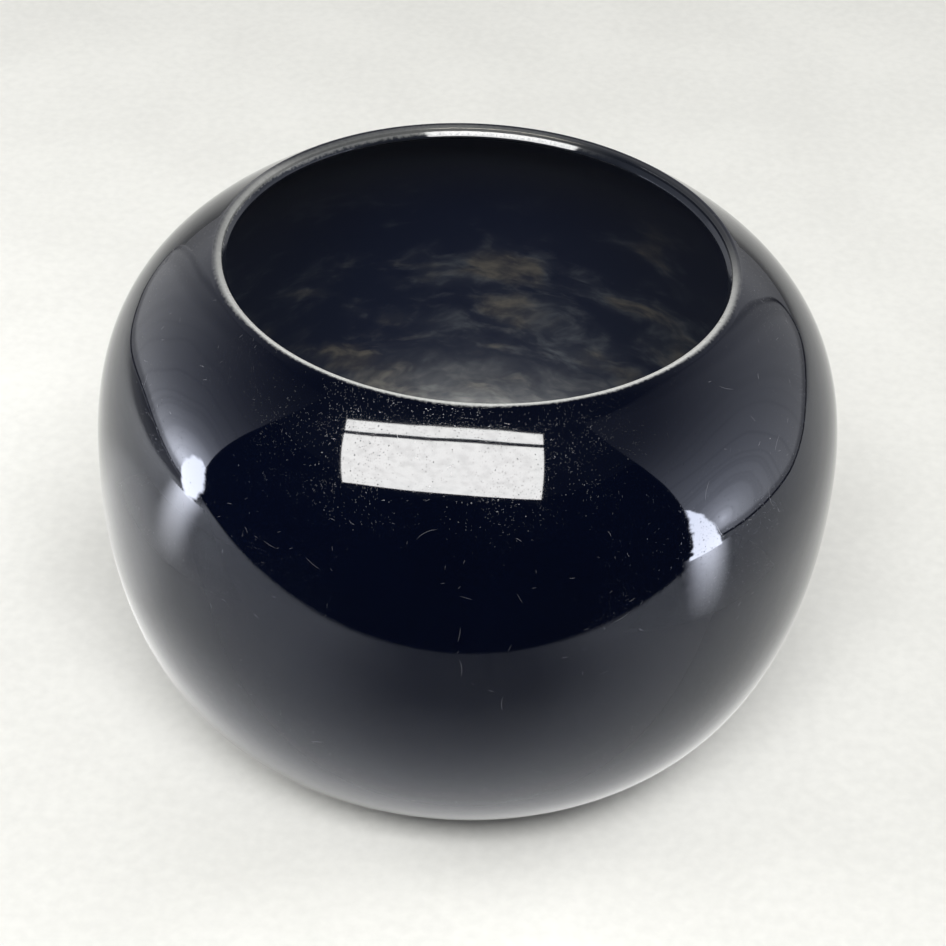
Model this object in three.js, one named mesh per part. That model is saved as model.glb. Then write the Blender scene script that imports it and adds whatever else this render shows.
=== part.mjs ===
// Posy vase: a squat ceramic globe with a wide mouth, black glazed outside and inside.
// Millimetres, +Z up. The origin is on the table, under the middle of the foot ring.
//
// The vessel is one piece of clay turned about its axis. Glaze is melted on to it as three coats:
// over the outside, over the inside, and in the recess under the foot. The clay stays bare on the
// round of the lip, where the glaze draws thin, and on the foot ring, which stands in the kiln.

import * as THREE from 'three';

// Outside of the vase, over the glaze
const BELLY_RADIUS = 57.5;
const BELLY_HEIGHT = 48;
const VASE_HEIGHT = 80.4;
const SHOULDER_FALL_DEGREES = 35;
const SHOULDER_REACH = 12;
const SHOULDER_RISE = 19;
const BOWL_DROP = 24;
const BOWL_CORNER_RADIUS = 50;

// Lip: the middle of its round edge lies at LIP_RADIUS, and the clay there is LIP_THICKNESS thick
const LIP_RADIUS = 39;
const LIP_THICKNESS = 2;

// Clay wall at the belly, and the floor inside
const WALL_THICKNESS = 4;
const FLOOR_THICKNESS = 5;
const FLOOR_RADIUS = 20;

// Foot ring, with the recess turned out inside it
const FOOT_RADIUS = 32;
const FOOT_HEIGHT = 2.6;
const FOOT_WIDTH = 5;
const FOOT_CHAMFER = 0.6;
const RECESS_DEPTH = 2;

// Glaze coats: thin at the lip, full at the belly, pooled on the floor
const LIP_GLAZE = 0.2;
const OUTER_GLAZE = 0.6;
const INNER_GLAZE = 0.6;
const FLOOR_GLAZE = 1.4;
const BASE_GLAZE = 0.5;
const BASE_GLAZE_ROUND = 0.3;

// Bare clay left between the foot ring and the glaze, outside and in the recess
const BARE_OUTSIDE = 2;
const BARE_RECESS = 1;

// Steps round the axis and along each stretch of the section
const ROUND_STEPS = 48;
const SHOULDER_STEPS = 8;
const BOWL_STEPS = 9;
const LIP_STEPS = 3;
const BARE_STEPS = 1;

const CLAY_COLOUR = 0xb8b6ae;
const GLAZE_COLOUR = 0x0b0c13;
const INSIDE_COLOUR = 0x14161d;

// Points of the half section: distance from the axis, and height above the table
const at = (radius, height) => new THREE.Vector2(radius, height);

// The shoulder leaves the lip downhill, and the lip's round begins square to that slope
const fall = THREE.MathUtils.degToRad(SHOULDER_FALL_DEGREES);
const downShoulder = at(Math.cos(fall), -Math.sin(fall));
const offShoulder = at(Math.sin(fall), Math.cos(fall));
const lipCentre = at(LIP_RADIUS, VASE_HEIGHT - LIP_THICKNESS / 2);
const outerLipAngle = Math.PI / 2 - fall;
const lipEdgeAngle = outerLipAngle + Math.PI / 2;
const innerLipAngle = lipEdgeAngle + Math.PI / 2;

// Points along part of a curve, both ends included
function stretch(curve, from, to, steps) {
  const points = [];
  for (let step = 0; step <= steps; step += 1) {
    points.push(curve.getPoint(from + (to - from) * step / steps));
  }
  return points;
}

// Stretches that follow on from each other, with the point where two meet kept once
function joined(first, ...others) {
  return others.reduce((points, next) => points.concat(next.slice(1)), first);
}

const reversed = (points) => [...points].reverse();

// One surface of the wall, as two curves that meet upright at the belly. lipOffset is its distance
// outside the middle of the lip, and depth its distance in from the outside at the belly.
function wallSurface(lipOffset, depth, bottomRadius, bottomHeight) {
  const bellyRadius = BELLY_RADIUS - depth;
  const top = lipCentre.clone().addScaledVector(offShoulder, lipOffset);
  const shoulder = new THREE.CubicBezierCurve(
    top,
    top.clone().addScaledVector(downShoulder, SHOULDER_REACH),
    at(bellyRadius, BELLY_HEIGHT + SHOULDER_RISE),
    at(bellyRadius, BELLY_HEIGHT),
  );
  const bowl = new THREE.CubicBezierCurve(
    at(bellyRadius, BELLY_HEIGHT),
    at(bellyRadius, BELLY_HEIGHT - BOWL_DROP),
    at(BOWL_CORNER_RADIUS - depth, bottomHeight),
    at(bottomRadius, bottomHeight),
  );
  return { shoulder, bowl };
}

// Where a curve that runs inwards passes a radius
function shareAtRadius(curve, radius) {
  let outside = 0;
  let inside = 1;
  for (let halving = 0; halving < 40; halving += 1) {
    const middle = (outside + inside) / 2;
    if (curve.getPoint(middle).x > radius) {
      outside = middle;
    } else {
      inside = middle;
    }
  }
  return outside;
}

// Part of the lip's round, from one angle to another, for a lip of the given thickness
function lipRound(thickness, from, to) {
  const arc = new THREE.EllipseCurve(lipCentre.x, lipCentre.y, thickness / 2, thickness / 2, from, to);
  return arc.getPoints(LIP_STEPS);
}

// The four surfaces of the wall, from the outside in
const claySide = LIP_THICKNESS / 2;
const glazeSide = claySide + LIP_GLAZE;
const insideDepth = OUTER_GLAZE + WALL_THICKNESS;
const floorHeight = RECESS_DEPTH + FLOOR_THICKNESS;
const glazeOutside = wallSurface(glazeSide, 0, FOOT_RADIUS, FOOT_HEIGHT - OUTER_GLAZE);
const clayOutside = wallSurface(claySide, OUTER_GLAZE, FOOT_RADIUS, FOOT_HEIGHT);
const clayInside = wallSurface(-claySide, insideDepth, FLOOR_RADIUS, floorHeight);
const glazeInside = wallSurface(
  -glazeSide,
  insideDepth + INNER_GLAZE,
  FLOOR_RADIUS,
  floorHeight + FLOOR_GLAZE,
);

// The outer coat ends on the bowl, a little outside the foot ring
const glazeEnd = shareAtRadius(clayOutside.bowl, FOOT_RADIUS + BARE_OUTSIDE);

// Outside of the clay under the outer coat, from the lip down to the glaze line
const clayUnderOuterGlaze = joined(
  stretch(clayOutside.shoulder, 0, 1, SHOULDER_STEPS),
  stretch(clayOutside.bowl, 0, glazeEnd, BOWL_STEPS),
);

// Inside of the clay under the inner coat, from the edge of the lip down to the rim of the floor
const clayUnderInnerGlaze = joined(
  lipRound(LIP_THICKNESS, lipEdgeAngle, innerLipAngle),
  stretch(clayInside.shoulder, 0, 1, SHOULDER_STEPS),
  stretch(clayInside.bowl, 0, 1, BOWL_STEPS),
);

const recessRadius = FOOT_RADIUS - FOOT_WIDTH;

// Half section of the clay: recess, foot ring, outside, lip, inside and floor
function claySection() {
  const foot = [
    at(0, RECESS_DEPTH),
    at(recessRadius, RECESS_DEPTH),
    at(recessRadius, FOOT_CHAMFER),
    at(recessRadius + FOOT_CHAMFER, 0),
    at(FOOT_RADIUS - FOOT_CHAMFER, 0),
    at(FOOT_RADIUS, FOOT_CHAMFER),
    at(FOOT_RADIUS, FOOT_HEIGHT),
  ];
  const bareBowl = stretch(clayOutside.bowl, 1, glazeEnd, BARE_STEPS);
  const bareLip = lipRound(LIP_THICKNESS, outerLipAngle, lipEdgeAngle);
  const skin = joined(foot, bareBowl, reversed(clayUnderOuterGlaze), bareLip, clayUnderInnerGlaze);
  return [...skin, at(0, floorHeight)];
}

// Half section of the outer coat: up its gloss side, and down the clay that it lies on
function outerGlazeSection() {
  const gloss = joined(
    stretch(glazeOutside.shoulder, 0, 1, SHOULDER_STEPS),
    stretch(glazeOutside.bowl, 0, glazeEnd, BOWL_STEPS),
  );
  const section = [...reversed(gloss), ...clayUnderOuterGlaze];
  return [...section, section[0]];
}

// Half section of the inner coat: out along the clay floor, up the clay wall, and back down its gloss
function innerGlazeSection() {
  const gloss = joined(
    lipRound(LIP_THICKNESS + 2 * LIP_GLAZE, lipEdgeAngle, innerLipAngle),
    stretch(glazeInside.shoulder, 0, 1, SHOULDER_STEPS),
    stretch(glazeInside.bowl, 0, 1, BOWL_STEPS),
  );
  const floor = floorHeight + FLOOR_GLAZE;
  return [at(0, floorHeight), ...reversed(clayUnderInnerGlaze), ...gloss, at(0, floor)];
}

// Half section of the coat in the recess, with a rounded-off edge
function baseGlazeSection() {
  const radius = recessRadius - BARE_RECESS;
  const face = RECESS_DEPTH - BASE_GLAZE;
  return [
    at(0, face),
    at(radius - BASE_GLAZE_ROUND, face),
    at(radius, face + BASE_GLAZE_ROUND),
    at(radius, RECESS_DEPTH),
    at(0, RECESS_DEPTH),
  ];
}

// A solid turned from a half section, with its axis upright
function turned(name, section, color, roughness) {
  const geometry = new THREE.LatheGeometry(section, ROUND_STEPS);
  geometry.rotateX(Math.PI / 2);
  const material = new THREE.MeshStandardMaterial({ color, roughness, metalness: 0 });
  const mesh = new THREE.Mesh(geometry, material);
  mesh.name = name;
  return mesh;
}

const vase = new THREE.Group();
vase.add(turned('clay_body', claySection(), CLAY_COLOUR, 0.7));
vase.add(turned('outer_glaze', outerGlazeSection(), GLAZE_COLOUR, 0.06));
vase.add(turned('inner_glaze', innerGlazeSection(), INSIDE_COLOUR, 0.25));
vase.add(turned('base_glaze', baseGlazeSection(), GLAZE_COLOUR, 0.12));

export default vase;
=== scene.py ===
"""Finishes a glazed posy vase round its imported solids.

The vessel is one piece of fired clay with three coats of glaze melted on to it: over the outside,
over the inside, and in the recess under the foot. Each is turned here as a fine mesh that stands
for the solid of the same name. The file is laid out as an add-on, and is run as a script.
"""

import math

import bmesh
import bpy
from bpy.props import FloatProperty, FloatVectorProperty, IntProperty, PointerProperty
from bpy.types import Operator, Panel, PropertyGroup
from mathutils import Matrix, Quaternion, Vector
from mathutils.geometry import interpolate_bezier


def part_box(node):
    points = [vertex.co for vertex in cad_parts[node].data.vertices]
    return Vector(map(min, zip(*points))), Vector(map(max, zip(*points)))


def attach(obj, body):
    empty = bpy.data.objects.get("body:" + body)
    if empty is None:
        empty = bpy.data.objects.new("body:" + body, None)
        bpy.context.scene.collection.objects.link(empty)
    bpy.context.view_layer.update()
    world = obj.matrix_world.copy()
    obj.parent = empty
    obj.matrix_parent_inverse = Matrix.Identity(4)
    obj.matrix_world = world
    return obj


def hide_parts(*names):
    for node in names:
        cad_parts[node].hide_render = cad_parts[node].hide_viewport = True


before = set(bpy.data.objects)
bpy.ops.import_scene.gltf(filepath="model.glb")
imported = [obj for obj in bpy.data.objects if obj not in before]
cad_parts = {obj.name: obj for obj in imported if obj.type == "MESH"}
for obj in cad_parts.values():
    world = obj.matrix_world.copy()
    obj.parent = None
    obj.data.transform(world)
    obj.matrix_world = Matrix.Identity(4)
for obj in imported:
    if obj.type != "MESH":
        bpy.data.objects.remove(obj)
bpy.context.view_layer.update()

bl_info = {
    "name": "Posy Vase",
    "version": (1, 0, 0),
    "blender": (4, 5, 0),
    "location": "View3D > Sidebar > Posy Vase",
    "description": "Turns a glazed posy vase round its solids and sets it on a pale table",
    "category": "Add Mesh",
}

MM = 0.001
FULL_TURN = 2 * math.pi

# Boxes of the four solids, which give the main sizes
_, clay_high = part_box("clay_body")
_, coat_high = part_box("outer_glaze")
lining_low, lining_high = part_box("inner_glaze")
base_low, base_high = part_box("base_glaze")


# Properties

def setting(name, description, default, **kind):
    """A number that a user may change, with its limits, unit or subtype."""
    return FloatProperty(name=name, description=description, default=default, **kind)


def size(name, description, default):
    """A length that a user may change."""
    return setting(name, description, default, min=0.0, precision=5, unit="LENGTH")


def spot(name, description, default):
    """A place that a user may change."""
    return FloatVectorProperty(
        name=name, description=description, default=default, subtype="TRANSLATION", size=3
    )


def colour(name, description, default):
    """A colour that a user may change."""
    return FloatVectorProperty(
        name=name, description=description, default=default, subtype="COLOR", size=3, min=0.0, max=1.0
    )


class VaseSizes(PropertyGroup):
    """Sizes of the vase. The main ones come from the solids."""

    belly_radius: size("Belly radius", "Widest radius, over the glaze", coat_high.x)
    belly_height: size("Belly height", "Height of the widest place", 48 * MM)
    vase_height: size("Height", "Height of the lip above the table", clay_high.z)
    shoulder_fall: setting(
        "Shoulder fall", "Slope of the shoulder where it leaves the lip", math.radians(35), subtype="ANGLE"
    )
    shoulder_reach: size("Shoulder reach", "How far the shoulder keeps the slope of the lip", 12 * MM)
    shoulder_rise: size("Shoulder rise", "How far the belly rises upright into the shoulder", 19 * MM)
    bowl_drop: size("Bowl drop", "How far the belly falls upright into the bowl", 24 * MM)
    bowl_corner: size("Bowl corner", "Radius that the bowl is drawn towards at the bottom", 50 * MM)
    lip_radius: size("Lip radius", "Radius of the middle of the lip", 39 * MM)
    lip_thickness: size("Lip thickness", "Thickness of the clay at the lip", 2 * MM)
    wall_thickness: size("Wall", "Thickness of the clay at the belly", clay_high.x - lining_high.x)
    floor_height: size("Floor height", "Height of the clay floor inside", lining_low.z)
    floor_radius: size("Floor radius", "Radius where the floor turns up into the wall", 20 * MM)
    foot_radius: size("Foot radius", "Outer radius of the foot ring", 32 * MM)
    foot_height: size("Foot height", "Height of the foot ring", 2.6 * MM)
    foot_width: size("Foot width", "Width of the foot ring", 5 * MM)
    foot_round: size("Foot rounding", "Radius of the edges of the foot ring", 0.6 * MM)
    recess_depth: size("Recess depth", "Depth of the recess inside the foot ring", base_high.z)
    outer_coat: size("Outer coat", "Thickness of the outer glaze at the belly", coat_high.x - clay_high.x)
    inner_coat: size("Inner coat", "Thickness of the inner glaze at the belly", 0.6 * MM)
    lip_coat: size("Lip coat", "Thickness of both coats just below the lip", 0.2 * MM)
    floor_coat: size("Floor coat", "Thickness of the glaze pooled on the floor", 1.4 * MM)
    base_radius: size("Base coat radius", "Radius of the glaze in the recess", base_high.x)
    base_coat: size("Base coat", "Thickness of the glaze in the recess", base_high.z - base_low.z)
    bare_outside: size("Bare band", "Bare clay between the foot ring and the outer glaze", 2 * MM)
    line_wander: size("Glaze line wander", "How far the glaze line strays up and down", 0.5 * MM)
    steps_round: IntProperty(
        name="Steps round", description="Faces round the axis", default=288, min=24, max=720
    )


class VaseColours(PropertyGroup):
    """Colours of the clay and the glaze."""

    clay: colour("Clay", "Bare fired clay", (0.50, 0.48, 0.42))
    clay_shade: colour("Clay shade", "Darker grain in the clay", (0.30, 0.28, 0.24))
    lip: colour("Lip", "Pale clay that shows where the glaze has drawn off the lip", (0.62, 0.625, 0.60))
    foot_stain: colour("Foot stain", "Grime on the foot ring", (0.20, 0.165, 0.12))
    glaze: colour("Glaze", "Blue-black gloss glaze", (0.0008, 0.0018, 0.0075))
    glaze_thin: colour("Thin glaze", "Glaze where it draws thin over the clay", (0.012, 0.014, 0.020))
    scuff: colour("Scuff", "Scratches and dust on the glaze", (0.42, 0.42, 0.45))
    gloss_tint: colour("Gloss tint", "Tint of what the glaze mirrors face on", (0.75, 0.81, 1.0))
    haze: colour("Haze", "Thin even haze on the inside", (0.0025, 0.0068, 0.025))
    haze_high: colour("High haze", "The same haze up under the lip", (0.0012, 0.004, 0.021))
    film: colour("Film", "Dried mineral film inside", (0.078, 0.090, 0.106))
    film_rust: colour("Rusty film", "Brown patches in the film", (0.115, 0.107, 0.089))
    dregs: colour("Dregs", "Paler film low down inside, where water stood", (0.40, 0.41, 0.395))


class VaseStage(PropertyGroup):
    """Table, light and camera."""

    table: colour("Table", "Pale table top", (0.92, 0.917, 0.874))
    surround: setting("Surround light", "Level of the soft light from all round", 0.21)
    panel_power: setting("Panel lamp", "Power of the lamp panel above the front", 10.6, unit="POWER")
    left_power: setting("Left lamp", "Power of the lamp low on the left", 1.05, unit="POWER")
    right_power: setting("Right lamp", "Power of the lamp high on the right", 2.75, unit="POWER")
    lamp_shine: setting("Lamp shine", "Brightness of the side lamps in the gloss", 20.0)
    spill_shine: setting("Lamp spill", "Brightness of their light on the table in the gloss", 12.8)
    bounce: setting("Table bounce", "Light thrown back by the table close to the foot", 0.8)
    panel_shine: setting("Panel shine", "Brightness of the panel's face in the gloss", 26.0)
    panel_tone: colour("Panel tone", "Warm tone of the panel's face", (1.0, 0.925, 0.745))
    camera_place: spot("Camera", "Place of the camera", (0.0, -0.36445, 0.3093))
    camera_aim: spot("Aim", "Point at the middle of the picture", (0.001229, 0.0, 0.039692))
    camera_roll: setting("Roll", "Turn of the camera about its view", math.radians(3.403), subtype="ANGLE")
    camera_lens: setting("Lens", "Focal length", 108.84, unit="CAMERA")


# Node trees

class Value:
    """What comes out of a node's socket. Arithmetic on it adds Math nodes."""

    def __init__(self, tree, socket):
        self.tree = tree
        self.socket = socket

    def __add__(self, other):
        return self.tree.maths("ADD", self, other)

    def __radd__(self, other):
        return self.tree.maths("ADD", other, self)

    def __sub__(self, other):
        return self.tree.maths("SUBTRACT", self, other)

    def __rsub__(self, other):
        return self.tree.maths("SUBTRACT", other, self)

    def __mul__(self, other):
        return self.tree.maths("MULTIPLY", self, other)

    def __rmul__(self, other):
        return self.tree.maths("MULTIPLY", other, self)

    def __truediv__(self, other):
        return self.tree.maths("DIVIDE", self, other)

    def __rtruediv__(self, other):
        return self.tree.maths("DIVIDE", other, self)

    def __pow__(self, power):
        return self.tree.maths("POWER", self, power)

    def __abs__(self):
        return self.tree.maths("ABSOLUTE", self)


class Made:
    """A node in a tree. Its outputs are fetched by name, identifier or number."""

    def __init__(self, tree, node):
        self.tree = tree
        self.node = node

    def __getitem__(self, key):
        return Value(self.tree, find_socket(self.node.outputs, key))

    def feed(self, sockets):
        """Gives inputs their links or values."""
        for key, value in sockets.items():
            socket = find_socket(self.node.inputs, key)
            if isinstance(value, Value):
                self.tree.links.new(value.socket, socket)
            else:
                socket.default_value = value


def find_socket(sockets, key):
    """The socket with that number, identifier or name."""
    if isinstance(key, int):
        return sockets[key]
    return next(s for s in sockets if key in (s.identifier, s.name))


class Tree:
    """A node tree under construction, of a material, the world or Geometry Nodes."""

    def __init__(self, owner):
        self.nodes = owner.nodes
        self.links = owner.links
        self.nodes.clear()

    def node(self, kind, settings=None, sockets=None):
        """Adds a node: its type, then its settings, then what its inputs hold."""
        node = self.nodes.new(kind)
        for name, value in (settings or {}).items():
            setattr(node, name, value)
        made = Made(self, node)
        made.feed(sockets or {})
        return made

    def maths(self, operation, *terms):
        """A Math node on numbers or values."""
        return self.node("ShaderNodeMath", {"operation": operation}, dict(enumerate(terms)))[0]

    def vector_maths(self, operation, *terms):
        """A Vector Math node. A dot product is a number, the rest are vectors."""
        made = self.node("ShaderNodeVectorMath", {"operation": operation}, dict(enumerate(terms)))
        return made["Value" if operation == "DOT_PRODUCT" else "Vector"]

    def vector(self, x, y, z):
        """A vector from three numbers or values."""
        return self.node("ShaderNodeCombineXYZ", sockets={"X": x, "Y": y, "Z": z})["Vector"]

    def parts(self, vector):
        """The three numbers in a vector."""
        made = self.node("ShaderNodeSeparateXYZ", sockets={"Vector": vector})
        return made["X"], made["Y"], made["Z"]

    def fade(self, value, start, end):
        """0 at start and 1 at end, with a smooth change between."""
        sockets = {"Value": value, "From Min": start, "From Max": end}
        return self.node("ShaderNodeMapRange", {"interpolation_type": "SMOOTHSTEP"}, sockets)["Result"]

    def noise(self, place, feature, detail=2.0, seed=0.0):
        """Cloudy noise from 0 to 1, with features of about that size."""
        sockets = {"Vector": place, "W": seed, "Scale": 1 / feature, "Detail": detail}
        return self.node("ShaderNodeTexNoise", {"noise_dimensions": "4D"}, sockets)["Fac"]

    def cells(self, place, spacing):
        """Scattered points about that far apart: the nearest one's place, distance and dice."""
        made = self.node("ShaderNodeTexVoronoi", sockets={"Vector": place, "Scale": 1 / spacing})
        dice = self.node("ShaderNodeSeparateColor", sockets={"Color": made["Color"]})
        return made["Position"], made["Distance"] * spacing, (dice["Red"], dice["Green"], dice["Blue"])

    def blend(self, share, first, second):
        """A colour that goes from the first to the second as share goes from 0 to 1."""
        sockets = {"Factor": share, "A_Color": opaque(first), "B_Color": opaque(second)}
        return self.node("ShaderNodeMix", {"data_type": "RGBA"}, sockets)["Result_Color"]


def opaque(shade):
    """A colour with its alpha, or a colour that already flows through the tree."""
    if isinstance(shade, Value):
        return shade
    return (*shade, 1.0)


class Finish(Tree):
    """A material under construction, with a Principled shader."""

    def __init__(self, name, constants):
        self.material = bpy.data.materials.new(name)
        self.material.use_nodes = True
        super().__init__(self.material.node_tree)
        self.shader = self.node("ShaderNodeBsdfPrincipled", sockets=constants)
        self.node("ShaderNodeOutputMaterial", sockets={"Surface": self.shader["BSDF"]})
        self.place = self.node("ShaderNodeTexCoord")["Object"]
        self.x, self.y, self.z = self.parts(self.place)
        self.radius = (self.x * self.x + self.y * self.y) ** 0.5

    def relief(self, height):
        """A bump from a height in metres."""
        return self.node("ShaderNodeBump", sockets={"Height": height, "Distance": 1.0})["Normal"]

    def drawn_lip(self, sizes):
        """How bare the lip is, from 0 to 1: sharp in front, soft at the sides, turned in at the back."""
        towards = (self.x * math.sin(DRAWN_WAY) - self.y * math.cos(DRAWN_WAY)) / self.radius
        front = self.fade(-1 * self.y / self.radius, *LIP_FRONT)
        back = self.fade(self.y / self.radius, *LIP_BACK)
        ring = self.vector(self.x / self.radius, self.y / self.radius, 0.0)
        streaks = self.noise(ring, LIP_STREAK / sizes.lip_radius, detail=2.0, seed=5.0)
        ragged = self.noise(self.place, LIP_RAGGED, detail=3.0, seed=6.0)
        wander = self.noise(self.place, LIP_WANDER, detail=1.0, seed=16.0)
        drawn = self.fade(towards, *LIP_DRAWN) * (0.42 + 0.5 * front - 0.12 * back)
        stray = (streaks - 0.5) * STREAK_STRAY + (ragged - 0.5) * RAGGED_STRAY
        reach = LIP_BARE + LIP_WIDENING * front - LIP_RETREAT * back + (wander - 0.5) * WANDER_STRAY
        soft = LIP_SOFT * (1.2 - 0.65 * front + 0.4 * back)
        outer = self.fade(self.radius - sizes.lip_radius + stray, reach + soft, reach - soft)
        depth = sizes.vase_height - self.z + stray
        deepest = LIP_DEPTH * (1 - 0.5 * front + 0.5 * back)
        inner = self.fade(depth, deepest + LIP_FADE, deepest - LIP_FADE)
        return drawn * outer * inner * (0.45 + 0.5 * streaks + 0.6 * ragged)

    def scratches(self, spacing, length, width, share):
        """Short fine scratches that lie every way on the surface, from 0 to 1."""
        centre, _, (chance, turn, strength) = self.cells(self.place, spacing)
        offset = self.vector_maths("SUBTRACT", self.place, centre)
        normal = self.node("ShaderNodeNewGeometry")["Normal"]
        around = self.vector_maths("NORMALIZE", self.vector(-1 * self.y, self.x, 0.0))
        upward = self.vector_maths("CROSS_PRODUCT", normal, around)
        sideways = self.vector_maths("DOT_PRODUCT", offset, around)
        rise = self.vector_maths("DOT_PRODUCT", offset, upward)
        cosine = self.maths("COSINE", turn * FULL_TURN)
        sine = self.maths("SINE", turn * FULL_TURN)
        along = sideways * cosine + rise * sine
        across = rise * cosine - sideways * sine + along * along * (strength - 0.5) * (0.6 / length)
        line = self.fade(abs(across), width, 0.3 * width)
        ends = self.fade(abs(along), length * strength, 0.4 * length * strength)
        return line * ends * self.maths("LESS_THAN", chance, share) * strength

    def specks(self, spacing, radius, share):
        """Round specks of about that radius on some of the scattered points, from 0 to 1."""
        _, distance, (chance, bigness, _) = self.cells(self.place, spacing)
        edge = radius * (0.5 + bigness)
        return self.fade(distance, edge, 0.3 * edge) * self.maths("LESS_THAN", chance, share)


# Finishes

CLAY_GRAIN = 0.35 * MM
CLAY_MOTTLE = 4 * MM
CLAY_RELIEF = 0.02 * MM

# Features of the pale lip, and how far they push its edge
LIP_STREAK = 0.3 * MM
LIP_RAGGED = 0.6 * MM
LIP_WANDER = 16 * MM
STREAK_STRAY = 0.25 * MM
RAGGED_STRAY = 0.8 * MM
WANDER_STRAY = 0.8 * MM

# Where the glaze is drawn off, as parts of the way to the front, to the back and to the drawn side
DRAWN_WAY = math.radians(-55)
LIP_DRAWN = (-0.95, -0.7)
LIP_FRONT = (-0.05, 0.8)
LIP_BACK = (0.45, 0.75)

# Reach of the bare lip outwards and down inside, and its softness
LIP_BARE = 0.3 * MM
LIP_WIDENING = 0.02 * MM
LIP_RETREAT = 0.8 * MM
LIP_SOFT = 0.6 * MM
LIP_DEPTH = 0.66 * MM
LIP_FADE = 0.22 * MM
LIP_RELIEF = 0.012 * MM


def clay_finish(sizes, colours):
    """Fired clay: pale and streaked on the lip, fine grained and stained on the foot ring."""
    finish = Finish("fired_clay", {"IOR": 1.5})
    grain = finish.noise(finish.place, CLAY_GRAIN, detail=4.0)
    mottle = finish.noise(finish.place, CLAY_MOTTLE, detail=3.0, seed=2.0)
    shade = finish.fade(0.6 * grain + 0.4 * mottle, 0.34, 0.62)
    bare = finish.blend(shade, colours.clay_shade, colours.clay)
    stain = finish.fade(finish.z, 2 * sizes.foot_height, 0.2 * sizes.foot_height)
    stain = stain * finish.fade(mottle, 0.42, 0.68)
    bare = finish.blend(0.7 * stain, bare, colours.foot_stain)
    pale = finish.drawn_lip(sizes)
    lip = finish.blend(pale, colours.glaze_thin, colours.lip)
    high_up = finish.maths("GREATER_THAN", finish.z, sizes.belly_height)
    finish.shader.feed({
        "Base Color": finish.blend(high_up, bare, lip),
        "Roughness": 0.72 - high_up * 0.64 + high_up * pale * 0.3,
        "Normal": finish.relief(grain * (CLAY_RELIEF - high_up * (CLAY_RELIEF - LIP_RELIEF * pale))),
    })
    return finish.material


# Unevenness of the gloss, and the patches that are worn or pitted
PEEL_SIZE = 7 * MM
PEEL_HEIGHT = 0.012 * MM
CLOUD_SIZE = 14 * MM
WORN_SIZE = 18 * MM
PITTED_SIZE = 12 * MM

# Marks: how far apart, then how big
PIT_SPACING = 0.5 * MM
PIT_RADIUS = 0.085 * MM
PIT_DEPTH = 0.016 * MM
DUST_SPACING = 2.3 * MM
DUST_RADIUS = 0.1 * MM
TICK_SPACING = 2.6 * MM
TICK_LENGTH = 0.6 * MM
TICK_WIDTH = 0.036 * MM
SCUFF_SPACING = 7 * MM
SCUFF_LENGTH = 2 * MM
SCUFF_WIDTH = 0.04 * MM


def gloss_constants(colours):
    """What is the same all over a coat of glaze."""
    return {"IOR": 1.52, "Specular Tint": opaque(colours.gloss_tint)}


def outer_gloss_finish(sizes, colours):
    """Blue-black gloss: thin at the lip, with pinholes, dust and fine scratches."""
    finish = Finish("outer_gloss", gloss_constants(colours))
    pale = finish.drawn_lip(sizes)
    cloud = finish.noise(finish.place, CLOUD_SIZE, detail=3.0, seed=3.0)
    worn = finish.fade(finish.noise(finish.place, WORN_SIZE, detail=2.0, seed=14.0), 0.4, 0.62)
    high = finish.fade(finish.z, 0.45 * sizes.vase_height, 0.75 * sizes.vase_height)
    pitted = finish.fade(finish.noise(finish.place, PITTED_SIZE, detail=2.0, seed=15.0), 0.42, 0.6)
    pitted = pitted * (0.15 + 0.85 * high)
    pits = finish.specks(PIT_SPACING, PIT_RADIUS, 0.05 + 0.6 * pitted)
    fine_pits = finish.specks(0.5 * PIT_SPACING, 0.55 * PIT_RADIUS, 0.1 + 0.7 * pitted)
    dust = finish.specks(DUST_SPACING, DUST_RADIUS, 0.04 + 0.2 * worn * high)
    ticks = finish.scratches(TICK_SPACING, TICK_LENGTH, TICK_WIDTH, 0.03 + 0.3 * worn * high)
    scuffs = finish.scratches(SCUFF_SPACING, SCUFF_LENGTH, SCUFF_WIDTH, 0.06 + 0.4 * worn * high)
    scuffs = finish.maths("MAXIMUM", ticks, 0.75 * scuffs)
    glaze = finish.blend(cloud, colours.glaze, [0.7 * part for part in colours.glaze])
    glaze = finish.blend(pale, glaze, colours.lip)
    marks = finish.maths("MAXIMUM", 0.45 * scuffs, 0.45 * dust)
    peel = finish.noise(finish.place, PEEL_SIZE, detail=1.0, seed=4.0)
    finish.shader.feed({
        "Base Color": finish.blend(marks, glaze, colours.scuff),
        "Roughness": 0.02 + 0.025 * cloud + 0.3 * pale + 0.35 * marks,
        "Normal": finish.relief(peel * PEEL_HEIGHT - PIT_DEPTH * (pits + 0.6 * fine_pits)),
    })
    return finish.material


# The dried film: how its pattern is moved and squeezed, and the sizes of what is in it
FILM_SHIFT = (4.8 * MM, 0.0, -3.6 * MM)
FILM_STRETCH = (1.0, 1.0, 2.4)
FILM_WARP = 14 * MM
WARP_ASIDE = 9 * MM
WARP_UP = 16 * MM
FILM_CLOUD = 15 * MM
FILM_WISP = 3.5 * MM
RUST_SIZE = 20 * MM
DREGS_STRAY = 30 * MM

# Depths below the lip between which the clear bead goes over into the matt lining
BEAD_DEPTH = 2 * MM
RUN_DEPTH = 4 * MM


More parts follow.
